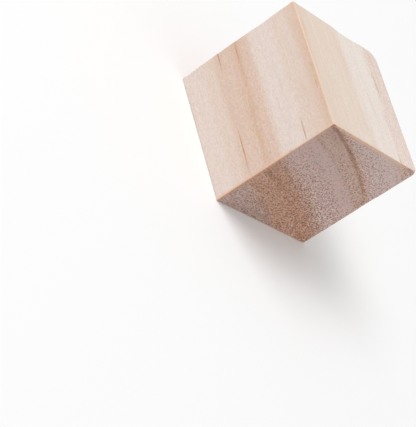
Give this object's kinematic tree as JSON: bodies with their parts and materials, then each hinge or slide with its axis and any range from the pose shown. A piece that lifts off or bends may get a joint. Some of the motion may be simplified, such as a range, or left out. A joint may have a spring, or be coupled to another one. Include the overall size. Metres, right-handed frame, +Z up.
{
  "type": "wooden cube",
  "caption": "Small solid softwood cube with sawn end grain on two faces, eased arrises and worn corners.",
  "frame": {"origin": "middle of the base face", "axes": "+X along the grain towards the right end-grain face, +Y to the back face, +Z up to the top face"},
  "size_m": [0.03, 0.029, 0.0288],
  "materials": {
    "softwood": "bare planed and lightly sanded softwood, pale pinkish tan, matt, with darker sawn end grain"
  },
  "bodies": {
    "root": {"block": "softwood"}
  },
  "joints": []
}
